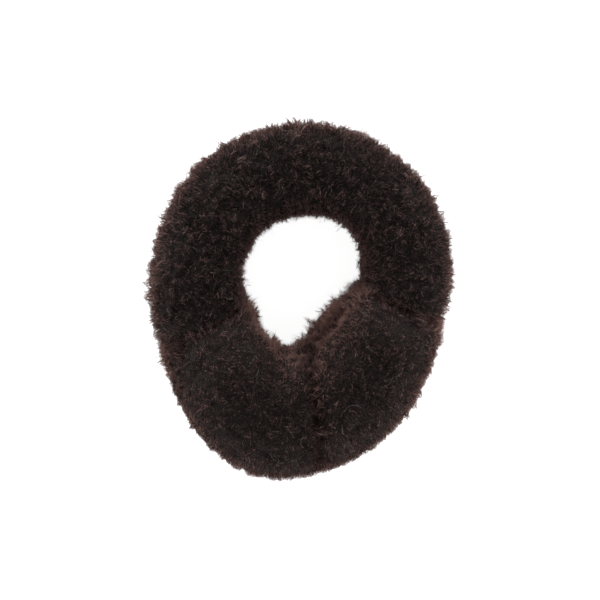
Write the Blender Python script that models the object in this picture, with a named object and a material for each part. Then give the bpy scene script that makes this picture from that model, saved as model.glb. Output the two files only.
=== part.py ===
"""Fur earmuffs, off the head: one thick fur roll for the headband and two ear pads.

The spring inside has closed, so the pads press together and the whole is a ring that lies on its
side. +Z is up from the floor, +Y points to the crown of the headband and +X to the right ear pad.
Every piece is a fur-covered roll that follows one centre line round the hole. Its curly locks are
fused to it, and it is flat where it rests on the floor. Units are metres.
"""

import math

import bmesh
import bpy
import numpy as np

# The ring that the three pieces follow, seen from above
RING_RADIUS = 0.0750
RIGHT_JOINT_DEG = -12.0
LEFT_JOINT_DEG = 202.0
PADS_MEET_DEG = 274.0

# The fur rolls: width is across the ring, depth is up from the floor
BAND_WIDTH = 0.0650
BAND_DEPTH = 0.0740
PAD_WIDTH = 0.0900
PAD_DEPTH = 0.0980
SECTION_SQUARENESS = 2.25
FLOOR_PRESS = 0.0013
PIECE_GAP = 0.0003

# Where a roll ends against its neighbour, the fur rolls over an edge
BAND_SHOULDER = 0.0070
PAD_SHOULDER = 0.0095
BAND_END_SHARE = 0.97
PAD_END_SHARE = 0.95

# The closing seam over the hole, and the lobe under it that stands further in
SEAM_DEPTH = 0.0085
SEAM_AT_DEG = 161.0
SEAM_SPREAD_DEG = 8.5
LOBE_REACH = 0.0025
LOBE_AT_DEG = 192.0
LOBE_SPREAD_DEG = 24.0

# The curly locks
LOCK_PITCH = 0.0090
BAND_LOCK_HEIGHT = 0.0060
PAD_LOCK_HEIGHT = 0.0042
LOCK_LEAN = 0.34
SHORTEST_LOCK = 0.55
LOCK_SEED = 31

# Points on which a roll's length is measured
LENGTH_POINTS = 200

# Centre line: angle in degrees, radius as a share of RING_RADIUS, lean of the section in degrees
CENTRE_LINE = [
    (-12.0, 0.858, -13.0),
    (0.0, 0.912, -9.5),
    (15.0, 0.942, -4.0),
    (30.0, 0.985, 0.0),
    (60.0, 1.025, 0.0),
    (90.0, 1.005, 0.0),
    (120.0, 0.985, 0.0),
    (150.0, 0.930, 0.0),
    (180.0, 0.895, 4.0),
    (202.0, 0.892, 10.0),
    (225.0, 0.975, 3.5),
    (253.0, 1.085, 0.0),
    (274.0, 1.030, 0.0),
    (290.0, 0.945, 0.0),
    (310.0, 0.880, -3.0),
    (330.0, 0.832, -8.0),
    (348.0, 0.858, -13.0),
]

# Sections: share of the way along, shares of the roll's width and depth, share of the seam
BAND_SECTIONS = [
    (0.00, 0.995, 1.060, 0.0),
    (0.06, 0.985, 1.030, 0.0),
    (0.13, 0.995, 1.000, 0.0),
    (0.27, 0.955, 1.000, 0.0),
    (0.41, 0.990, 1.000, 0.0),
    (0.55, 1.000, 1.000, 0.0),
    (0.70, 1.005, 1.000, 0.0),
    (0.83, 0.980, 1.000, 0.0),
    (0.93, 1.030, 1.030, 0.0),
    (1.00, 1.050, 1.060, 0.0),
]
LEFT_PAD_SECTIONS = [
    (0.00, 0.770, 0.830, 0.0),
    (0.14, 0.795, 0.920, 0.0),
    (0.32, 0.860, 1.000, 0.0),
    (0.52, 0.925, 1.000, 0.0),
    (0.72, 0.975, 1.000, 0.1),
    (0.88, 0.995, 1.000, 0.4),
    (1.00, 0.980, 0.980, 0.7),
]
RIGHT_PAD_SECTIONS = [
    (0.00, 0.975, 0.980, 0.7),
    (0.10, 0.990, 1.000, 0.9),
    (0.22, 0.985, 1.000, 1.0),
    (0.42, 0.940, 1.000, 1.0),
    (0.60, 0.890, 1.000, 1.0),
    (0.76, 0.820, 0.990, 0.9),
    (0.90, 0.770, 0.915, 0.3),
    (1.00, 0.710, 0.830, 0.0),
]

FUR_COLOUR = (0.032, 0.019, 0.016, 1.0)
PAD_COLOUR = (0.046, 0.028, 0.024, 1.0)
FUR_ROUGHNESS = 0.92


def smooth_column(rows, column, at):
    """Read a column of a table at a place, on a smooth cubic through its rows."""
    places = np.array([row[0] for row in rows])
    values = np.array([row[column] for row in rows])
    slopes = np.gradient(values, places)
    at = np.clip(at, places[0], places[-1])
    k = np.clip(np.searchsorted(places, at, side="right") - 1, 0, len(places) - 2)
    span = places[k + 1] - places[k]
    s = (at - places[k]) / span
    from_start = (1 + 2 * s) * (1 - s) ** 2 * values[k] + s * (1 - s) ** 2 * span * slopes[k]
    from_end = s**2 * (3 - 2 * s) * values[k + 1] - s**2 * (1 - s) * span * slopes[k + 1]
    return from_start + from_end


def whole_turn(rows):
    """The centre line's rows with one more turn on either side, so that it closes smoothly."""
    before = [(row[0] - 360.0, *row[1:]) for row in rows[:-1]]
    after = [(row[0] + 360.0, *row[1:]) for row in rows[1:]]
    return before + list(rows) + after


def centre_line(angle_deg):
    """The centre line's x and y at an angle, and the direction of the section there."""
    rows = whole_turn(CENTRE_LINE)
    radius = RING_RADIUS * smooth_column(rows, 1, angle_deg)
    direction = np.radians(angle_deg + smooth_column(rows, 2, angle_deg))
    angle = np.radians(angle_deg)
    return radius * np.cos(angle), radius * np.sin(angle), direction


def bump(angle_deg, middle_deg, spread_deg):
    """A soft bump of height 1 round one angle of a section."""
    return np.exp(-(((angle_deg - middle_deg) / spread_deg) ** 2))


def roll_length(start_deg, end_deg):
    """The length of the centre line between two angles."""
    x, y, _ = centre_line(np.linspace(start_deg, end_deg, LENGTH_POINTS))
    return float(np.hypot(np.diff(x), np.diff(y)).sum())


def roll_surface(spec, along, turn_deg, height):
    """Points on a fur roll: along from 0 to 1, turn_deg round the section, height off the skin.

    A turn of 0 points away from the hole, 90 up and 180 into the hole.
    """
    x, y, direction = centre_line(spec["start"] + along * (spec["end"] - spec["start"]))
    to_end = np.minimum(along, 1.0 - along) * roll_length(spec["start"], spec["end"])
    inside = 1.0 - np.clip(to_end / spec["shoulder"], 0.0, 1.0)
    rounding = spec["end_share"] + (1.0 - spec["end_share"]) * np.sqrt(1.0 - inside**2)
    half_width = rounding * spec["width"] * smooth_column(spec["sections"], 1, along) / 2
    half_depth = rounding * spec["depth"] * smooth_column(spec["sections"], 2, along) / 2
    seam = smooth_column(spec["sections"], 3, along)

    turn_deg = np.mod(turn_deg, 360.0)
    turn = np.radians(turn_deg)
    power = SECTION_SQUARENESS
    across = np.abs(np.cos(turn)) / (half_width - spec["lock_height"])
    upward = np.abs(np.sin(turn)) / (half_depth - spec["lock_height"])
    reach = (across**power + upward**power) ** (-1.0 / power)
    reach = reach - seam * SEAM_DEPTH * bump(turn_deg, SEAM_AT_DEG, SEAM_SPREAD_DEG)
    reach = reach + seam * LOBE_REACH * bump(turn_deg, LOBE_AT_DEG, LOBE_SPREAD_DEG)
    reach = reach + height

    outward = reach * np.cos(turn)
    forward = PIECE_GAP / 2 * (1.0 - 2.0 * along)
    px = x + outward * np.cos(direction) - forward * np.sin(direction)
    py = y + outward * np.sin(direction) + forward * np.cos(direction)
    middle = half_depth - spec["lock_height"] - FLOOR_PRESS
    pz = middle + reach * np.sin(turn)
    return np.stack([px, py, np.maximum(pz, 0.0)], axis=-1)


def lock_lattice(spec):
    """A staggered net of points round the roll, where one point in three is a lock's tip.

    Each row is shifted by half a step from the one before, so every tip has six valleys round it.
    """
    step = LOCK_PITCH / math.sqrt(3.0)
    length = roll_length(spec["start"], spec["end"])
    rows = round(length / (step * math.sqrt(0.75)))
    girth = math.pi * (spec["width"] + spec["depth"]) / 2
    columns = 3 * round(girth / step / 3.0)

    row, column = np.meshgrid(np.arange(rows + 1), np.arange(columns), indexing="ij")
    odd = row % 2
    is_tip = ((column - (row - odd) // 2 - row) % 3 == 0) & (row > 0) & (row < rows)
    chance = np.random.default_rng(LOCK_SEED + spec["seed"])
    lean = LOCK_LEAN * (2.0 * chance.random((2, rows + 1, columns)) - 1.0)
    tallness = SHORTEST_LOCK + (1.0 - SHORTEST_LOCK) * chance.random((rows + 1, columns))
    along = (row + lean[0] * is_tip) / rows
    turn_deg = 360.0 * (column + 0.5 * odd + lean[1] * is_tip) / columns
    return roll_surface(spec, along, turn_deg, spec["lock_height"] * tallness * is_tip)


def lattice_faces(rows, columns):
    """The triangles of a staggered net that closes round the roll."""
    faces = []
    for row in range(rows):
        for column in range(columns):
            beside = (column + 1) % columns
            a = row * columns + column
            b = row * columns + beside
            c = (row + 1) * columns + column
            d = (row + 1) * columns + beside
            if row % 2 == 0:
                faces += [(a, b, c), (c, b, d)]
            else:
                faces += [(a, d, c), (a, b, d)]
    return faces


def fur_material(name, colour):
    material = bpy.data.materials.new(name)
    material.use_nodes = True
    shader = material.node_tree.nodes["Principled BSDF"]
    shader.inputs["Base Color"].default_value = colour
    shader.inputs["Roughness"].default_value = FUR_ROUGHNESS
    shader.inputs["Metallic"].default_value = 0.0
    material.diffuse_color = colour
    return material


def fur_roll(name, spec, collection):
    """Loft a roll with its locks, close its two ends and put it in the collection."""
    points = lock_lattice(spec)
    rows, columns = points.shape[0] - 1, points.shape[1]
    mesh = bpy.data.meshes.new(name)
    mesh.from_pydata(points.reshape(-1, 3).tolist(), [], lattice_faces(rows, columns))
    shape = bmesh.new()
    shape.from_mesh(mesh)
    edge_loops = [edge for edge in shape.edges if edge.is_boundary]
    bmesh.ops.holes_fill(shape, edges=edge_loops, sides=columns)
    bmesh.ops.recalc_face_normals(shape, faces=shape.faces)
    shape.to_mesh(mesh)
    shape.free()
    mesh.materials.append(fur_material(name, spec["colour"]))
    piece = bpy.data.objects.new(name, mesh)
    collection.objects.link(piece)
    return piece


def stand_at_origin(pieces, holder):
    """Centre the ring over the origin by moving the empty that carries its pieces."""
    corners = []
    for piece in pieces:
        flat = np.empty(3 * len(piece.data.vertices))
        piece.data.vertices.foreach_get("co", flat)
        corners.append(flat.reshape(-1, 3))
        piece.parent = holder
    corners = np.concatenate(corners)
    middle = (corners.min(axis=0) + corners.max(axis=0)) / 2
    holder.location = (-middle[0], -middle[1], 0.0)


def main():
    for leftover in list(bpy.data.objects):
        bpy.data.objects.remove(leftover, do_unlink=True)

    collection = bpy.data.collections.new("fur_earmuffs")
    bpy.context.scene.collection.children.link(collection)
    holder = bpy.data.objects.new("earmuffs_at_rest", None)
    collection.objects.link(holder)

    band = dict(
        width=BAND_WIDTH,
        depth=BAND_DEPTH,
        shoulder=BAND_SHOULDER,
        end_share=BAND_END_SHARE,
        lock_height=BAND_LOCK_HEIGHT,
        colour=FUR_COLOUR,
    )
    pad = dict(
        width=PAD_WIDTH,
        depth=PAD_DEPTH,
        shoulder=PAD_SHOULDER,
        end_share=PAD_END_SHARE,
        lock_height=PAD_LOCK_HEIGHT,
        colour=PAD_COLOUR,
    )
    headband = dict(
        band, start=RIGHT_JOINT_DEG, end=LEFT_JOINT_DEG, sections=BAND_SECTIONS, seed=0
    )
    left_pad = dict(
        pad, start=LEFT_JOINT_DEG, end=PADS_MEET_DEG, sections=LEFT_PAD_SECTIONS, seed=1
    )
    right_pad = dict(
        pad,
        start=PADS_MEET_DEG,
        end=RIGHT_JOINT_DEG + 360.0,
        sections=RIGHT_PAD_SECTIONS,
        seed=2,
    )
    pieces = [
        fur_roll("headband", headband, collection),
        fur_roll("left_ear_pad", left_pad, collection),
        fur_roll("right_ear_pad", right_pad, collection),
    ]
    stand_at_origin(pieces, holder)
    bpy.context.view_layer.update()


main()
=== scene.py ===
"""The looks of the fur earmuffs: curly shearling on the headband roll and on the two ear pads."""

import math

import bpy
import numpy as np
from mathutils import Matrix, Vector


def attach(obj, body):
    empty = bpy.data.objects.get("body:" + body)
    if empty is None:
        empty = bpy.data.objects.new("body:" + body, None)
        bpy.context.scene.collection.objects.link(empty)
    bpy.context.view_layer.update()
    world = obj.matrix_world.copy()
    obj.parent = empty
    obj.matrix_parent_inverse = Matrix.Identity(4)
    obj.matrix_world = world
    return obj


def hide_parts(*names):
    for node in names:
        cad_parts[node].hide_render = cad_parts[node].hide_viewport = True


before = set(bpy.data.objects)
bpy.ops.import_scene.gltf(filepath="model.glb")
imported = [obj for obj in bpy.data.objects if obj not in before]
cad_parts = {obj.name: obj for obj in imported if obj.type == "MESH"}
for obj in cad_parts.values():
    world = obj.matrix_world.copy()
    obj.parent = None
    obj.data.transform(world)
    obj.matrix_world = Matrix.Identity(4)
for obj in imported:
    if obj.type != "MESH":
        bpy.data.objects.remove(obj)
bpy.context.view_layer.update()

# Headband skin.
# The real one is a strip of shearling, wool side out, sewn into a roll round a sprung steel band and
# its padding. The skin hardly shows: what does is the dense undercoat, which bulges under each lock.

RING_MIDDLE = (-0.00056, 0.00791)
RING_RADIUS = 0.0750
RIGHT_JOINT_DEG = -12.0
LEFT_JOINT_DEG = 202.0
SQUARENESS = 2.25
FLOOR_PRESS = 0.0013
SKIN_GAP = 0.0003
GRID_STEP = 0.0017
UNDERCOAT_TONE = 0.10
# Painted shade: the wool is painted darker in the valleys between tufts than on their domes
DOME_PAINTED_SHADE = 0.06
UNDERCOAT_DOME_PAINTED_SHADE = 0.03
PATCH_STRENGTH = 0.14
GRAIN_SCALE = 1000.0
GRAIN_STRENGTH = 1.50
NOISE_DETAIL = 2.0
WOOL_ROUGHNESS = 0.8
WOOL_SHINE = 0.04
LENGTH_STEPS = 200
FAR_AWAY = 1e9

# Angle in degrees, radius as a share of RING_RADIUS, lean of the section in degrees
CENTRE_LINE = [
    (-12.0, 0.858, -13.0),
    (0.0, 0.912, -9.5),
    (15.0, 0.942, -4.0),
    (30.0, 0.985, 0.0),
    (60.0, 1.025, 0.0),
    (90.0, 1.005, 0.0),
    (120.0, 0.985, 0.0),
    (150.0, 0.930, 0.0),
    (180.0, 0.895, 4.0),
    (202.0, 0.892, 10.0),
    (225.0, 0.975, 3.5),
    (253.0, 1.085, 0.0),
    (274.0, 1.030, 0.0),
    (290.0, 0.945, 0.0),
    (310.0, 0.880, -3.0),
    (330.0, 0.832, -8.0),
    (348.0, 0.858, -13.0),
]

# Lengths are in metres. knobs says how far the wool on the outer side stands in round knobs, and the
# two growths how much longer it is on the outer side and in the hole than on top.
HEADBAND = dict(
    start=RIGHT_JOINT_DEG,
    end=LEFT_JOINT_DEG,
    width=0.0650,
    depth=0.0740,
    lock_height=0.0060,
    shoulder=0.0070,
    end_share=0.97,
    tuft_pitch=0.0056,
    knobs=1.0,
    outer_growth=0.10,
    hole_growth=-0.20,
    seed=3,
    # Share of the way along, shares of the width and the depth, share of the seam
    sections=[
        (0.00, 0.995, 1.060, 0.0),
        (0.06, 0.985, 1.030, 0.0),
        (0.13, 0.995, 1.000, 0.0),
        (0.27, 0.955, 1.000, 0.0),
        (0.41, 0.990, 1.000, 0.0),
        (0.55, 1.000, 1.000, 0.0),
        (0.70, 1.005, 1.000, 0.0),
        (0.83, 0.980, 1.000, 0.0),
        (0.93, 1.030, 1.030, 0.0),
        (1.00, 1.050, 1.060, 0.0),
    ],
    # Along, turn in degrees, spread along, spread in degrees, and tone: painted light where above 0,
    # painted shade where below 0. Here painted light on the top of the outer side near the right end
    places=[(0.04, 32.0, 0.20, 28.0, 0.24)],
)

SEAM_DEPTH = 0.0085
SEAM_AT_DEG = 161.0
SEAM_SPREAD_DEG = 8.5
LOBE_REACH = 0.0025
LOBE_AT_DEG = 192.0
LOBE_SPREAD_DEG = 24.0


def column_at(rows, column, at):
    """Reads a column of a table: a cubic between two rows, with each row's slope from its neighbours."""
    places = np.array([row[0] for row in rows])
    values = np.array([row[column] for row in rows])
    slopes = np.gradient(values, places)
    at = np.clip(at, places[0], places[-1])
    k = np.clip(np.searchsorted(places, at, side="right") - 1, 0, len(places) - 2)
    span = places[k + 1] - places[k]
    s = (at - places[k]) / span
    from_start = (1 + 2 * s) * (1 - s) ** 2 * values[k] + s * (1 - s) ** 2 * span * slopes[k]
    from_end = s**2 * (3 - 2 * s) * values[k + 1] - s**2 * (1 - s) * span * slopes[k + 1]
    return from_start + from_end


def bell(at, middle, spread):
    """A bell-shaped curve, one at its middle: e to the power of minus the squared distance."""
    return np.exp(-(((at - middle) / spread) ** 2))


def ring_line(angle_deg):
    """The ring's centre line: x and y at an angle, and which way the roll's section faces there."""
    before = [(row[0] - 360.0, *row[1:]) for row in CENTRE_LINE[:-1]]
    after = [(row[0] + 360.0, *row[1:]) for row in CENTRE_LINE[1:]]
    rows = before + CENTRE_LINE + after
    radius = RING_RADIUS * column_at(rows, 1, angle_deg)
    facing = np.radians(angle_deg + column_at(rows, 2, angle_deg))
    angle = np.radians(angle_deg)
    x = RING_MIDDLE[0] + radius * np.cos(angle)
    y = RING_MIDDLE[1] + radius * np.sin(angle)
    return x, y, facing


def roll_size(roll):
    """A roll's length on its centre line, and the way round its skin, both in metres. The skin lies a
    lock's height inside the roll on every side."""
    x, y, _ = ring_line(np.linspace(roll["start"], roll["end"], LENGTH_STEPS))
    length = float(np.hypot(np.diff(x), np.diff(y)).sum())
    girth = math.pi * (roll["width"] + roll["depth"] - 4 * roll["lock_height"]) / 2
    return length, girth


def roll_point(roll, along, turn, height):
    """A point on or above a roll's skin.

    along runs from 0 to 1 between the roll's ends. turn runs from 0 to 1 round its section, which is
    a rounded square: 0 faces away from the hole, 0.25 up and 0.5 into the hole. The pads' seam is
    a bell-shaped groove in it, and the lobe under the seam a bell-shaped swelling.
    """
    x, y, facing = ring_line(roll["start"] + along * (roll["end"] - roll["start"]))
    length, _ = roll_size(roll)
    to_end = np.minimum(along, 1.0 - along) * length
    inside = 1.0 - np.clip(to_end / roll["shoulder"], 0.0, 1.0)
    rounding = roll["end_share"] + (1.0 - roll["end_share"]) * np.sqrt(1.0 - inside**2)
    half_width = rounding * roll["width"] * column_at(roll["sections"], 1, along) / 2
    half_depth = rounding * roll["depth"] * column_at(roll["sections"], 2, along) / 2
    seam = column_at(roll["sections"], 3, along)

    turn_deg = np.mod(360.0 * turn, 360.0)
    angle = np.radians(turn_deg)
    across = np.abs(np.cos(angle)) / (half_width - roll["lock_height"])
    upward = np.abs(np.sin(angle)) / (half_depth - roll["lock_height"])
    reach = (across**SQUARENESS + upward**SQUARENESS) ** (-1.0 / SQUARENESS)
    reach = reach - seam * SEAM_DEPTH * bell(turn_deg, SEAM_AT_DEG, SEAM_SPREAD_DEG)
    reach = reach + seam * LOBE_REACH * bell(turn_deg, LOBE_AT_DEG, LOBE_SPREAD_DEG)
    reach = reach + height

    middle = half_depth - roll["lock_height"] - FLOOR_PRESS
    outward = reach * np.cos(angle)
    px = x + outward * np.cos(facing)
    py = y + outward * np.sin(facing)
    pz = middle + reach * np.sin(angle)
    return np.stack([px, py, pz], axis=-1)


def nearest_root(roll, pitch, seed, along, turn):
    """The tuft or curl that a place on the skin belongs to.

    Each cell of a net of that pitch has one root at a random place in it, and a place belongs to the
    nearest of the nine roots round it. Gives that root's along and turn, the distance to it as a
    share of the pitch, and four chances from 0 to 1 that are the same for the whole tuft or curl.
    """
    length, girth = roll_size(roll)
    rows = max(3, round(length / pitch))
    columns = max(3, round(girth / pitch))
    chance = np.random.default_rng(seed).random((6, rows, columns))
    row = np.clip(np.floor(along * rows).astype(int), 0, rows - 1)
    column = np.floor(turn * columns).astype(int)
    best = np.full(np.shape(along), FAR_AWAY)
    root_along = np.zeros_like(best)
    root_turn = np.zeros_like(best)
    own = np.zeros((4, *np.shape(along)))
    for step_row in (-1, 0, 1):
        for step_column in (-1, 0, 1):
            r = np.clip(row + step_row, 0, rows - 1)
            c = column + step_column
            wrapped = np.mod(c, columns)
            try_along = (r + chance[0, r, wrapped]) / rows
            try_turn = (c + chance[1, r, wrapped]) / columns
            away = np.hypot((along - try_along) * rows, (turn - try_turn) * columns)
            closer = away < best
            best = np.where(closer, away, best)
            root_along = np.where(closer, try_along, root_along)
            root_turn = np.where(closer, try_turn, root_turn)
            own = np.where(closer, chance[2:, r, wrapped], own)
    return root_along, root_turn, best, own


# Shares of the lock's height: the wool between two tufts, and its rise to a tuft's middle
TUFT_FLOOR = 0.05
TUFT_RISE = 0.30

# A tuft's radius as a share of the pitch, and the smallest dome as a share of the largest
TUFT_SPREAD = 0.85
SMALLEST_TUFT = 0.25
# Painted shade in the groove of the parted seam
SEAM_PAINTED_SHADE = 0.06


def tuft_at(roll, along, turn):
    """The tuft at a place: its root's along and turn, how far up its dome the place is, and its four
    chances. The dome is one less the square of the distance to the root, times a random size."""
    root_along, root_turn, away, own = nearest_root(roll, roll["tuft_pitch"], roll["seed"], along, turn)
    dome = np.clip(1.0 - (away / TUFT_SPREAD) ** 2, 0.0, 1.0)
    dome = dome * (SMALLEST_TUFT + (1.0 - SMALLEST_TUFT) * own[0])
    return root_along, root_turn, dome, own


def wool_height(roll, dome):
    """How high the dense wool stands off the skin, from how far up its tuft's dome a place is."""
    return roll["lock_height"] * (TUFT_FLOOR + TUFT_RISE * dome)


def painted_light_and_shade(roll, along, turn):
    """Painted light and shade: what the roll's table of places adds to the tone, bell-shaped, along and
    round the roll. The parted seam is painted darker, as painted shade for its depth."""
    turn_deg = 360.0 * np.mod(turn, 1.0)
    seam = column_at(roll["sections"], 3, along) * bell(turn_deg, SEAM_AT_DEG, SEAM_SPREAD_DEG)
    tone = -SEAM_PAINTED_SHADE * seam
    for at_along, at_turn, spread_along, spread_turn, strength in roll["places"]:
        tone = tone + strength * bell(along, at_along, spread_along) * bell(
            turn_deg, at_turn, spread_turn
        )
    return tone, seam


def new_piece(name, points, corners, sizes, tone, material):
    """A mesh from arrays: the points, the corner numbers of its faces, each face's number of corners
    and a tone for each point, from 0 at the dark root of the wool to 1 at its light tip."""
    mesh = bpy.data.meshes.new(name)
    mesh.vertices.add(len(points))
    mesh.vertices.foreach_set("co", points.astype(np.float32).ravel())
    mesh.loops.add(len(corners))
    mesh.loops.foreach_set("vertex_index", corners.astype(np.int32))
    mesh.polygons.add(len(sizes))
    starts = np.concatenate([[0], np.cumsum(sizes)[:-1]])
    mesh.polygons.foreach_set("loop_start", starts.astype(np.int32))
    mesh.polygons.foreach_set("use_smooth", np.ones(len(sizes), dtype=bool))
    mesh.update(calc_edges=True)
    mesh.attributes.new("tone", "FLOAT", "POINT").data.foreach_set("value", tone.astype(np.float32))
    mesh.materials.append(material)
    piece = bpy.data.objects.new(name, mesh)
    bpy.context.scene.collection.objects.link(piece)
    return piece


def wool_material(name, colours, patch_scale):
    """Wool from its dark root to its light tip: the tone picks a colour on a ramp. A soft noise on
    Object coordinates shifts it in patches, and a fine one from hair to hair."""
    material = bpy.data.materials.new(name)
    material.use_nodes = True
    nodes = material.node_tree.nodes
    links = material.node_tree.links
    shader = nodes["Principled BSDF"]
    place = nodes.new("ShaderNodeTexCoord")
    tone = nodes.new("ShaderNodeAttribute")
    tone.attribute_name = "tone"
    total = tone.outputs["Fac"]
    for scale, strength in ((patch_scale, PATCH_STRENGTH), (GRAIN_SCALE, GRAIN_STRENGTH)):
        noise = nodes.new("ShaderNodeTexNoise")
        noise.inputs["Scale"].default_value = scale
        noise.inputs["Detail"].default_value = NOISE_DETAIL
        links.new(place.outputs["Object"], noise.inputs["Vector"])
        shift = nodes.new("ShaderNodeMath")
        shift.operation = "MULTIPLY_ADD"
        shift.inputs[1].default_value = strength
        shift.inputs[2].default_value = -strength / 2
        links.new(noise.outputs["Fac"], shift.inputs[0])
        add = nodes.new("ShaderNodeMath")
        add.operation = "ADD"
        links.new(total, add.inputs[0])
        links.new(shift.outputs["Value"], add.inputs[1])
        total = add.outputs["Value"]
    ramp = nodes.new("ShaderNodeValToRGB")
    steps = ramp.color_ramp.elements
    while len(steps) < len(colours):
        steps.new(0.5)
    for step, (at, colour) in zip(steps, colours):
        step.position = at
        step.color = (*colour, 1.0)
    links.new(total, ramp.inputs["Fac"])
    links.new(ramp.outputs["Color"], shader.inputs["Base Color"])
    shader.inputs["Roughness"].default_value = WOOL_ROUGHNESS
    shader.inputs["Specular IOR Level"].default_value = WOOL_SHINE
    return material


def undercoat(name, roll, material):
    """The dense wool under the curls as a closed grid over the roll at the wool's height. Each end
    closes on a point in its middle."""
    length, girth = roll_size(roll)
    rows = round(length / GRID_STEP)
    columns = round(girth / GRID_STEP)
    row, column = np.meshgrid(np.arange(rows + 1), np.arange(columns), indexing="ij")
    along = row / rows
    turn = column / columns
    _, _, dome, _ = tuft_at(roll, along, turn)
    points = roll_point(roll, along, turn, wool_height(roll, dome))
    points[..., 2] = np.maximum(points[..., 2], SKIN_GAP)
    caps = np.stack([points[0].mean(axis=0), points[-1].mean(axis=0)])
    all_points = np.concatenate([points.reshape(-1, 3), caps])

    a = (row * columns + column)[:-1]
    b = (row * columns + (column + 1) % columns)[:-1]
    quads = np.stack([a, b, b + columns, a + columns], axis=-1).reshape(-1, 4)
    ring = np.arange(columns)
    beside = (ring + 1) % columns
    first_cap = np.full(columns, len(all_points) - 2)
    last_cap = np.full(columns, len(all_points) - 1)
    last_row = rows * columns
    fans = np.concatenate(
        [
            np.stack([beside, ring, first_cap], axis=-1),
            np.stack([last_row + ring, last_row + beside, last_cap], axis=-1),
        ]
    )
    corners = np.concatenate([quads.ravel(), fans.ravel()])
    sizes = np.concatenate([np.full(len(quads), 4), np.full(len(fans), 3)])
    # Painted shade: the undercoat is darker in the valleys between tufts than on their domes
    tone = np.append((UNDERCOAT_TONE + UNDERCOAT_DOME_PAINTED_SHADE * dome).ravel(), [0.0, 0.0])
    return new_piece(name, all_points, corners, sizes, tone, material)


band_wool = wool_material(
    "headband_wool",
    colours=[
        (0.00, (0.0090, 0.0078, 0.0076)),
        (0.35, (0.0240, 0.0190, 0.0178)),
        (0.70, (0.0780, 0.0460, 0.0405)),
        (1.00, (0.260, 0.155, 0.138)),
    ],
    patch_scale=70.0,
)

headband_skin = undercoat("headband_undercoat", HEADBAND, band_wool)
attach(headband_skin, "root")
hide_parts("headband")

# Headband fleece.
# The wool grows out of the skin in locks: its hairs start apart, draw together and curl round each
# other at the lock's tip. The locks lean all ways, which gives the ring its broken, woolly outline.

# Shares that a hair's tone is made of, from 0 at the dark root to 1 at a light tip; the dark root is
# partly the wool's own colour and partly painted shade deep in the fleece. LIGHTEST_PLACE is the most
# that the painted light and shade of its place may add, so that no stretch turns flat and pale.
ROOT_TONE = 0.17
TIP_TONE = 0.28
# Painted rim light on the roll's outer side and on its side in the hole
SIDE_PAINTED_RIM_LIGHT = 0.44
HOLE_SIDE_PAINTED_RIM_LIGHT = 0.66
# Painted light at a roll's ends, which lifts the shade where two pieces meet
END_PAINTED_LIGHT = 0.13
LIGHTEST_PLACE = 0.76
CURL_TONE = 0.10
TUFT_TONE = 0.08
LYING_TONE = 0.10
MEAN_CHANCE = 0.26

# Where hairs are left out: under the roll, and curls that lie flat where the roll isn't facing up
UNDERSIDE_HEIGHT = 0.008
UNDERSIDE_SHARE = 0.3
LYING_LOSS_AT_SIDE = 1.4
LYING_SPARED_ON_TOP = 1.6

# How far tufts, curls and the hairs at a roll's end lean, and how curls that lie flat differ in angle
TUFT_LEAN = 0.6
CURL_LEAN = 0.6
END_LEAN = 0.9
LYING_SWIRL = 0.8

# A hair's length as a share of its kind's: at a tuft's foot, what its top adds, and both in a knob
FOOT_LENGTH = 0.65
TOP_LENGTH = 0.50
KNOB_FOOT_LOSS = 0.25
KNOB_TOP_GAIN = 0.60
SEAM_LOSS = 0.4
END_GAIN = 0.7

# Least share and what chance adds to it
CURL_LENGTHS = (0.50, 1.00)
HAIR_LENGTHS = (0.8, 0.4)
HAIR_WIDTHS = (0.7, 0.6)
CURL_SWINGS = (0.6, 0.8)

# The helix: its radius at the root and what the tip adds, and how hairs of one curl differ in angle
ROOT_SWING = 0.2
TIP_SWING = 0.8
WIND_SPREAD = 0.5

# The tip's width as a share of the root's, the tips' scatter in curl pitches, and how much more tips
# are drawn together in a knob
TIP_WIDTH = 0.30
TIP_SCATTER = 0.14
KNOB_GATHER = 0.5

# How high up a hair its knee is, how the helix's plane tips, and how soon a lying hair turns light
KNEE_HEIGHT = 0.5
HELIX_TILT = 0.3
LYING_TONE_BEND = 0.5

# Outward is measured from a point this deep under the skin, in metres
CORE_DEPTH = 0.02
SHORTEST_VECTOR = 1e-12


def unit(v):
    """Vectors made one long."""
    return v / np.maximum(np.linalg.norm(v, axis=-1, keepdims=True), SHORTEST_VECTOR)


def by_chance(least_and_more, chance):
    """The least value, and as much of the rest as a chance from 0 to 1 gives."""
    return least_and_more[0] + least_and_more[1] * chance


def ribbons(line, width, tone, chance):
    """Hairs as flat ribbons along their middle lines, each turned by chance, that end in a point:
    points, corner numbers, face sizes and tones."""
    number, stations = width.shape
    going = np.gradient(line, axis=1)
    half = unit(np.cross(going, chance.normal(size=(number, 1, 3)))) * width[..., None] / 2
    pairs = np.stack([line - half, line + half], axis=2)[:, :-1].reshape(number, -1, 3)
    points = np.concatenate([pairs, line[:, -1:]], axis=1)
    points[..., 2] = np.maximum(points[..., 2], SKIN_GAP)
    tones = np.concatenate([np.repeat(tone[:, :-1], 2, axis=1), tone[:, -1:]], axis=1)

    rings = stations - 1
    k = np.arange(rings - 1)
    quads = np.stack([2 * k, 2 * k + 1, 2 * k + 3, 2 * k + 2], axis=-1).ravel()
    one = np.concatenate([quads, [2 * rings - 2, 2 * rings - 1, 2 * rings]])
    corners = (np.arange(number)[:, None] * (2 * rings + 1) + one).ravel()
    sizes = np.tile(np.append(np.full(rings - 1, 4), 3), number)
    return points.reshape(-1, 3), corners, sizes, tones.ravel()


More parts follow.
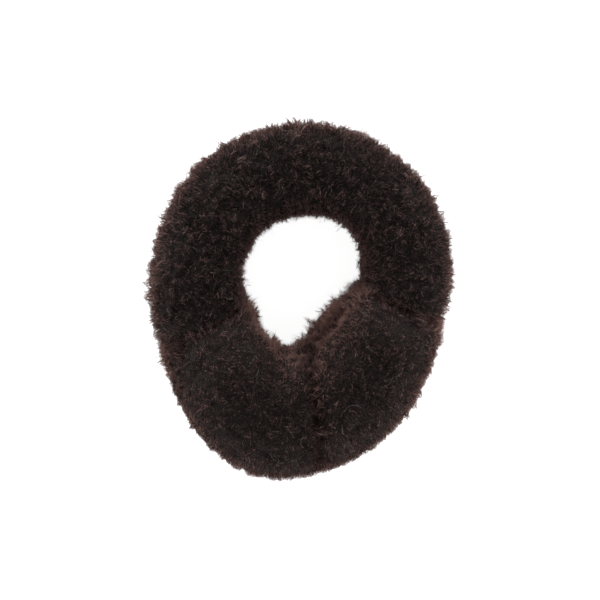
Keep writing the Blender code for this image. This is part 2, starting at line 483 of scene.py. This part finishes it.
def curly_hairs(roll, number, seed, kind, region=(0.0, 1.0), belt=(0.0, 1.0)):
    """The fleece of one stretch of a roll as ribbons.

    Each hair's middle line is a parabola from its root in the dense wool to a tip that is drawn
    towards its curl's tip and its tuft's tip; a kind of hair with a high lay share lies along the
    surface instead of standing up. Round the line runs a helix that all hairs of the curl share,
    whose radius grows from the root. Hairs are fewer under the roll and towards the hole, where the
    skin is gathered.
    """
    chance = np.random.default_rng(seed)
    lay = kind["lay"]
    upright = 1.0 - lay
    along = region[0] + (region[1] - region[0]) * chance.random(number)
    turn = belt[0] + (belt[1] - belt[0]) * chance.random(number)
    root = roll_point(roll, along, turn, 0.0)
    far = np.hypot(root[:, 0] - RING_MIDDLE[0], root[:, 1] - RING_MIDDLE[1])
    density = far / far.max() * np.where(root[:, 2] > UNDERSIDE_HEIGHT, 1.0, UNDERSIDE_SHARE)
    keep = chance.random(number) < density
    upward = np.sin(2 * math.pi * turn)
    loss = lay * np.clip(LYING_LOSS_AT_SIDE - LYING_SPARED_ON_TOP * upward, 0.0, 1.0)
    keep = keep & (chance.random(number) > loss)
    along = along[keep]
    turn = turn[keep]
    number = len(along)

    # The tuft and the curl that each hair belongs to, and how near the roll's end it is
    tuft_along, tuft_turn, dome, tuft = tuft_at(roll, along, turn)
    curl_along, curl_turn, _, curl = nearest_root(roll, kind["pitch"], seed + 1, along, turn)
    _, _, curl_dome, _ = tuft_at(roll, curl_along, curl_turn)
    _, _, facing = ring_line(roll["start"] + curl_along * (roll["end"] - roll["start"]))
    along_way = np.stack([-np.sin(facing), np.cos(facing), np.zeros(number)], axis=-1)
    roll_length, _ = roll_size(roll)
    past = 1.0 - np.clip(np.minimum(along, 1.0 - along) * roll_length / roll["shoulder"], 0.0, 1.0)
    over_end = np.where(along < 0.5, -1.0, 1.0) * past**2
    # The painted light and shade of the hair's place, and how far into the seam it is
    painted_patches, seam = painted_light_and_shade(roll, along, turn)

    # The roots, which way is outward there, and which way each hair leans
    lift = kind["lift"]
    root = roll_point(roll, along, turn, wool_height(roll, dome) + lift)
    curl_root = roll_point(roll, curl_along, curl_turn, wool_height(roll, curl_dome) + lift)
    tuft_root = roll_point(roll, tuft_along, tuft_turn, wool_height(roll, 1.0) + lift)
    outward = unit(root - roll_point(roll, along, turn, -CORE_DEPTH))
    curl_outward = unit(curl_root - roll_point(roll, curl_along, curl_turn, -CORE_DEPTH))
    tuft_outward = unit(tuft_root - roll_point(roll, tuft_along, tuft_turn, -CORE_DEPTH))
    round_way = np.cross(along_way, curl_outward)
    tuft_angle = 2 * math.pi * tuft[1]
    curl_angle = 2 * math.pi * curl[0] + LYING_SWIRL * lay * chance.normal(size=number)
    tuft_lean_along = TUFT_LEAN * tuft[2] * np.cos(tuft_angle) + END_LEAN * over_end
    tuft_lean_round = TUFT_LEAN * tuft[2] * np.sin(tuft_angle)
    tuft_lean = tuft_lean_along[:, None] * along_way + tuft_lean_round[:, None] * round_way
    curl_lean = np.cos(curl_angle)[:, None] * along_way + np.sin(curl_angle)[:, None] * round_way
    lean = upright * tuft_lean + (CURL_LEAN + lay) * curl_lean

    # The hair's length, its tip and the knee of its parabola
    outer = np.cos(2 * math.pi * turn)
    knob = roll["knobs"] * np.maximum(outer, 0.0) ** 2
    tuft_length = FOOT_LENGTH - KNOB_FOOT_LOSS * knob + (TOP_LENGTH + KNOB_TOP_GAIN * knob) * dome
    tall = kind["length"] * tuft_length * by_chance(CURL_LENGTHS, curl[1])
    tall = tall * by_chance(HAIR_LENGTHS, chance.random(number))
    tall = tall * (1.0 - SEAM_LOSS * seam) * (1.0 + END_GAIN * past)
    growth = np.where(outer > 0.0, roll["outer_growth"], roll["hole_growth"])
    tall = tall * (1.0 + growth * np.abs(outer))
    heading = unit(upright * curl_outward + lean)
    curl_tip = curl_root + tall[:, None] * heading
    tuft_tip = tuft_root + tall[:, None] * unit(tuft_outward + tuft_lean)
    own_tip = root + tall[:, None] * unit(upright * outward + lean)
    scatter = chance.normal(size=(number, 3)) * kind["pitch"] * TIP_SCATTER
    tip = own_tip + kind["gather"] * (curl_tip - own_tip) + scatter
    tip = tip + (kind["tuft_gather"] * (1.0 + KNOB_GATHER * knob))[:, None] * (tuft_tip - tip)
    knee = root + KNEE_HEIGHT * tall[:, None] * (upright * outward + lay * curl_lean)

    # The parabola, and the helix round it
    s = np.linspace(0.0, 1.0, kind["rings"] + 1)[None, :, None]
    line = (1 - s) ** 2 * root[:, None] + 2 * s * (1 - s) * knee[:, None] + s**2 * tip[:, None]
    side = unit(np.cross(heading, along_way + HELIX_TILT * outward))
    other = np.cross(heading, side)
    hand = np.where(curl[2] < 0.5, -1.0, 1.0)
    wind = (2 * math.pi * curl[3] + WIND_SPREAD * chance.normal(size=number))[:, None]
    wind = wind + (hand * 2 * math.pi * kind["turns"])[:, None] * s[..., 0]
    swing = (kind["radius"] * by_chance(CURL_SWINGS, curl[2]))[:, None]
    swing = swing * (ROOT_SWING + TIP_SWING * s[..., 0])
    line = line + (swing * np.cos(wind))[..., None] * side[:, None]
    line = line + (swing * np.sin(wind))[..., None] * other[:, None]

    # The width and the tone
    width = (kind["width"] * by_chance(HAIR_WIDTHS, chance.random(number)))[:, None]
    width = width * (1.0 - (1.0 - TIP_WIDTH) * s[..., 0])
    # Painted rim light: the wool on the roll's outer side and on its side in the hole is painted
    # lighter, for the light that falls on the roll's sides
    painted_rim_light = np.where(outer > 0.0, SIDE_PAINTED_RIM_LIGHT * outer**4, HOLE_SIDE_PAINTED_RIM_LIGHT * np.abs(outer) ** 3)
    personal = kind["contrast"] * (chance.random(number) ** 3 - MEAN_CHANCE)
    personal = personal + CURL_TONE * (curl[1] - 0.5) + TUFT_TONE * (tuft[3] - 0.5)
    # Painted light and shade of the hair's place: the tuft's dome, the roll's sides, the table of places
    # and the roll's ends
    painted_tone = DOME_PAINTED_SHADE * dome + painted_rim_light + painted_patches + END_PAINTED_LIGHT * past
    own_tone = ROOT_TONE + np.minimum(painted_tone, LIGHTEST_PLACE) + personal - LYING_TONE * lay
    tone = own_tone[:, None] + TIP_TONE * s[..., 0] ** (1.0 - LYING_TONE_BEND * lay)
    return ribbons(line, width, tone, chance)


def fleece(name, material, hairs):
    """One piece of fleece that rides on the earmuffs."""
    points, corners, sizes, tone = hairs
    piece = new_piece(name, points, corners, sizes, tone, material)
    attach(piece, "root")
    return piece


# A kind of hair: turns, radius and pitch are its curls', the two gathers say how far its tip is drawn
# to the curl's tip and the tuft's, lay how flat it lies, lift where its root is above the dense wool
SHORT_WOOL = dict(
    rings=3,
    length=0.0046,
    radius=0.0005,
    turns=0.9,
    pitch=0.0034,
    gather=0.32,
    tuft_gather=0.14,
    lay=0.0,
    lift=-0.0006,
    width=0.00032,
    contrast=0.84,
)
LONG_CURLS = dict(
    rings=6,
    length=0.0066,
    radius=0.0010,
    turns=1.0,
    pitch=0.0032,
    gather=0.72,
    tuft_gather=0.0,
    lay=0.0,
    lift=-0.0006,
    width=0.00052,
    contrast=0.60,
)
TOP_CURLS = dict(
    rings=5,
    length=0.0044,
    radius=0.0007,
    turns=1.3,
    pitch=0.0030,
    gather=0.30,
    tuft_gather=0.0,
    lay=0.60,
    lift=0.0014,
    width=0.00022,
    contrast=0.60,
)

# The stretches run a little past the ends of a roll, so that the wool of two neighbours mixes
for k, region in enumerate([(-0.01, 0.34), (0.34, 0.67), (0.67, 1.01)]):
    short_wool = curly_hairs(HEADBAND, number=40000, seed=100 + 10 * k, kind=SHORT_WOOL, region=region)
    fleece(f"headband_fleece_{k + 1}", band_wool, short_wool)

long_curls = curly_hairs(HEADBAND, number=6000, seed=150, kind=LONG_CURLS)
fleece("headband_curls", band_wool, long_curls)
top_curls = curly_hairs(HEADBAND, number=14000, seed=160, kind=TOP_CURLS)
fleece("headband_top_curls", band_wool, top_curls)

# Headband stray hairs.
# A few pale guard hairs have come loose and lie over the wool in arcs; they are held by nothing but
# the curls round them.

STRAY_LENGTH = 0.0120
STRAY_RINGS = 14
STRAY_WIDTH = 0.00010
STRAY_TIP_LOSS = 0.5
STRAY_LIFT = 0.95
WAVE_HEIGHT = 0.25
WAVE_ANGLE = 7.0
WAVE_START = 6.0

# Least value and what chance adds to it; the bends are in radians
STRAY_LENGTHS = (0.4, 1.2)
STRAY_BENDS = (-3.5, 7.0)
STRAY_PLACES = (-0.05, 0.60)
STRAY_TONES = (0.3, 0.7)


def stray_hairs(roll, number, seed):
    """Single long hairs that lie loose on the fleece: each runs over the roll at a steady height on a
    line that bends evenly, so that it is part of a circle, with a slow wave on top."""
    chance = np.random.default_rng(seed)
    roll_length, girth = roll_size(roll)
    s = np.linspace(0.0, 1.0, STRAY_RINGS + 1)[None, :]
    reach = (STRAY_LENGTH * by_chance(STRAY_LENGTHS, chance.random(number)))[:, None]
    heading = 2 * math.pi * chance.random((number, 1))
    angle = heading + by_chance(STRAY_BENDS, chance.random((number, 1))) * s
    step = reach / STRAY_RINGS
    along = chance.random((number, 1)) + np.cumsum(np.cos(angle) * step, axis=1) / roll_length
    start = by_chance(STRAY_PLACES, chance.random((number, 1)))
    turn = start + np.cumsum(np.sin(angle) * step, axis=1) / girth
    wave = np.sin(WAVE_ANGLE * s + WAVE_START * chance.random((number, 1)))
    lift = roll["lock_height"] * (STRAY_LIFT + WAVE_HEIGHT * wave)
    line = roll_point(roll, np.clip(along, 0.0, 1.0), turn, lift)
    width = STRAY_WIDTH * (1.0 - STRAY_TIP_LOSS * s) * np.ones((number, 1))
    tone = by_chance(STRAY_TONES, chance.random((number, 1))) * np.ones_like(width)
    return ribbons(line, width, tone, chance)


stray_wool = wool_material(
    "stray_hairs",
    colours=[(0.00, (0.06, 0.045, 0.04)), (1.00, (0.28, 0.25, 0.22))],
    patch_scale=70.0,
)
band_strays = stray_hairs(HEADBAND, number=60, seed=170)
fleece("headband_stray_hairs", stray_wool, band_strays)

# Left ear pad.
# A stuffed cushion covered in the same shearling, clipped shorter and denser than on the headband, so
# that it is fuller and smoother. It is pressed against the right pad by the spring.

PADS_MEET_DEG = 274.0
PAD = dict(
    width=0.0900,
    depth=0.0980,
    lock_height=0.0042,
    shoulder=0.0095,
    end_share=0.95,
    tuft_pitch=0.0060,
    knobs=0.0,
    outer_growth=0.0,
)
LEFT_PAD = dict(
    PAD,
    start=LEFT_JOINT_DEG,
    end=PADS_MEET_DEG,
    hole_growth=0.0,
    seed=5,
    sections=[
        (0.00, 0.770, 0.830, 0.0),
        (0.14, 0.795, 0.920, 0.0),
        (0.32, 0.860, 1.000, 0.0),
        (0.52, 0.925, 1.000, 0.0),
        (0.72, 0.975, 1.000, 0.1),
        (0.88, 0.995, 1.000, 0.4),
        (1.00, 0.980, 0.980, 0.7),
    ],
    # Painted light and shade, columns as in HEADBAND: lighter towards the hole, painted shade at the end
    # where the pads meet
    places=[
        (0.80, 143.0, 0.11, 22.0, 0.40),
        (0.35, 160.0, 0.45, 14.0, 0.20),
        (0.80, 120.0, 0.25, 16.0, 0.10),
        (1.00, 156.0, 0.06, 12.0, -0.90),
    ],
)

pad_wool = wool_material(
    "ear_pad_wool",
    colours=[
        (0.00, (0.0098, 0.0081, 0.0078)),
        (0.35, (0.0250, 0.0189, 0.0174)),
        (0.70, (0.0835, 0.0476, 0.0412)),
        (1.00, (0.272, 0.159, 0.138)),
    ],
    patch_scale=60.0,
)

CLIPPED_WOOL = dict(SHORT_WOOL, length=0.0043, pitch=0.0032, gather=0.24, contrast=0.66)
FRINGE = dict(LONG_CURLS, length=0.0060, gather=0.52, width=0.00034)


def ear_pad(side, roll, seed, fringes):
    """One ear pad: its undercoat, its short fleece in two halves, its fringes towards the hole and its
    stray hairs. A fringe is given by its stretch, its belt and its number of hairs."""
    skin = undercoat(f"{side}_ear_pad_undercoat", roll, pad_wool)
    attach(skin, "root")
    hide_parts(f"{side}_ear_pad")
    for k, region in enumerate([(-0.05, 0.5), (0.5, 1.05)]):
        short_wool = curly_hairs(
            roll, number=29000, seed=seed + 10 * k, kind=CLIPPED_WOOL, region=region
        )
        fleece(f"{side}_ear_pad_fleece_{k + 1}", pad_wool, short_wool)
    top_curls = curly_hairs(roll, number=6500, seed=seed + 40, kind=TOP_CURLS)
    fleece(f"{side}_ear_pad_top_curls", pad_wool, top_curls)
    for k, (region, belt, number) in enumerate(fringes):
        fringe = curly_hairs(roll, number, seed=seed + 50 + k, kind=FRINGE, region=region, belt=belt)
        fleece(f"{side}_ear_pad_fringe_{k + 1}", pad_wool, fringe)
    strays = stray_hairs(roll, number=30, seed=seed + 70)
    fleece(f"{side}_ear_pad_stray_hairs", stray_wool, strays)


ear_pad(
    "left",
    LEFT_PAD,
    seed=300,
    fringes=[
        ((0.11, 0.25), (0.46, 0.54), 900),
        ((0.54, 0.64), (0.46, 0.53), 500),
    ],
)

# Right ear pad.
# The same pad on the other side. Its fur parts at the closing seam over the hole, and below the seam
# it hangs into the hole as a fringe of longer wool.

RIGHT_PAD = dict(
    PAD,
    start=PADS_MEET_DEG,
    end=RIGHT_JOINT_DEG + 360.0,
    hole_growth=0.20,
    seed=7,
    sections=[
        (0.00, 0.975, 0.980, 0.7),
        (0.10, 0.990, 1.000, 0.9),
        (0.22, 0.985, 1.000, 1.0),
        (0.42, 0.940, 1.000, 1.0),
        (0.60, 0.890, 1.000, 1.0),
        (0.76, 0.820, 0.990, 0.9),
        (0.90, 0.770, 0.915, 0.3),
        (1.00, 0.710, 0.830, 0.0),
    ],
    # Painted light and shade, columns as in HEADBAND: lighter lips beside the seam and on the outer
    # side, painted shade in the seam and where the pads meet
    places=[
        (0.40, 150.0, 0.45, 12.0, 0.22),
        (0.35, 130.0, 0.55, 22.0, 0.24),
        (0.35, 178.0, 0.40, 8.0, 0.42),
        (0.25, 166.0, 0.30, 5.0, -0.42),
        (0.02, 157.0, 0.06, 13.0, -1.10),
        (0.03, 118.0, 0.09, 18.0, 0.26),
        (0.90, 160.0, 0.14, 20.0, 0.34),
        (0.70, 34.0, 0.48, 30.0, 0.28),
    ],
)
ear_pad("right", RIGHT_PAD, seed=400, fringes=[((0.08, 0.74), (0.42, 0.53), 4100)])

# Floor, light and camera.
# A plain pale floor under soft light from all sides, and a long lens nearly straight above, a little
# towards the crown and the left.

FLOOR_SIZE = 8.0
FLOOR_WHITE = (0.92, 0.92, 0.92, 1.0)
FLOOR_GLOW = 0.88
FLOOR_ROUGHNESS = 0.9
WHITE = (1.0, 1.0, 1.0, 1.0)
AIR_GLOW = 0.42
LAMP_HEIGHT_DEG = 15.0
LAMP_DISTANCE = 1.1
LAMP_SIZE = 0.5

# PIXEL is what one pixel of the photo shows, in metres
PIXEL = 0.00065
FRAME_PIXELS = 600
LENS_MM = 135.0
SENSOR_MM = 36.0
FURTHEST_SEEN = 50.0
CAMERA_TILT_DEG = 8.0
CAMERA_TOWARDS_DEG = 135.0
AIM = (-0.0007, -0.0008, 0.0300)

bpy.ops.mesh.primitive_plane_add(size=FLOOR_SIZE, location=(0.0, 0.0, 0.0))
floor = bpy.context.object
floor.name = "studio_floor"
paper = bpy.data.materials.new("studio_paper")
paper.use_nodes = True
paper_face = paper.node_tree.nodes["Principled BSDF"]
paper_face.inputs["Base Color"].default_value = FLOOR_WHITE
paper_face.inputs["Roughness"].default_value = FLOOR_ROUGHNESS
paper_face.inputs["Emission Color"].default_value = WHITE
paper_face.inputs["Emission Strength"].default_value = FLOOR_GLOW
floor.data.materials.append(paper)

world = bpy.data.worlds.new("studio_air")
world.use_nodes = True
world.node_tree.nodes["Background"].inputs["Color"].default_value = WHITE
world.node_tree.nodes["Background"].inputs["Strength"].default_value = AIR_GLOW
bpy.context.scene.world = world


def soft_box(name, towards_deg, power):
    """A square lamp that looks at the middle of the earmuffs from one side."""
    lamp = bpy.data.lights.new(name, "AREA")
    lamp.shape = "SQUARE"
    lamp.size = LAMP_SIZE
    lamp.energy = power
    a = math.radians(towards_deg)
    e = math.radians(LAMP_HEIGHT_DEG)
    direction = Vector((math.cos(a) * math.cos(e), math.sin(a) * math.cos(e), math.sin(e)))
    place = direction * LAMP_DISTANCE
    holder = bpy.data.objects.new(name, lamp)
    holder.location = place
    holder.rotation_euler = place.to_track_quat("Z", "Y").to_euler()
    bpy.context.scene.collection.objects.link(holder)


# Direction in degrees and power in watts
SIDE_LIGHTS = [(20.0, 13.0), (110.0, 14.5), (200.0, 11.5), (290.0, 13.0)]
for number, (towards, power) in enumerate(SIDE_LIGHTS):
    soft_box(f"side_light_{number + 1}", towards, power)

camera_data = bpy.data.cameras.new("camera")
camera_data.lens = LENS_MM
camera_data.sensor_width = SENSOR_MM
camera_data.clip_end = FURTHEST_SEEN
camera = bpy.data.objects.new("camera", camera_data)
bpy.context.scene.collection.objects.link(camera)
tilt = math.radians(CAMERA_TILT_DEG)
towards = math.radians(CAMERA_TOWARDS_DEG)
back = Vector((math.cos(towards) * math.sin(tilt), math.sin(towards) * math.sin(tilt), math.cos(tilt)))
right_hand = Vector((0.0, 1.0, 0.0)).cross(back).normalized()
upward = back.cross(right_hand)
distance = LENS_MM / SENSOR_MM * PIXEL * FRAME_PIXELS
turn = Matrix((right_hand, upward, back)).transposed()
camera.matrix_world = Matrix.Translation(Vector(AIM) + back * distance) @ turn.to_4x4()
bpy.context.scene.camera = camera
bpy.context.scene.view_settings.view_transform = "Standard"
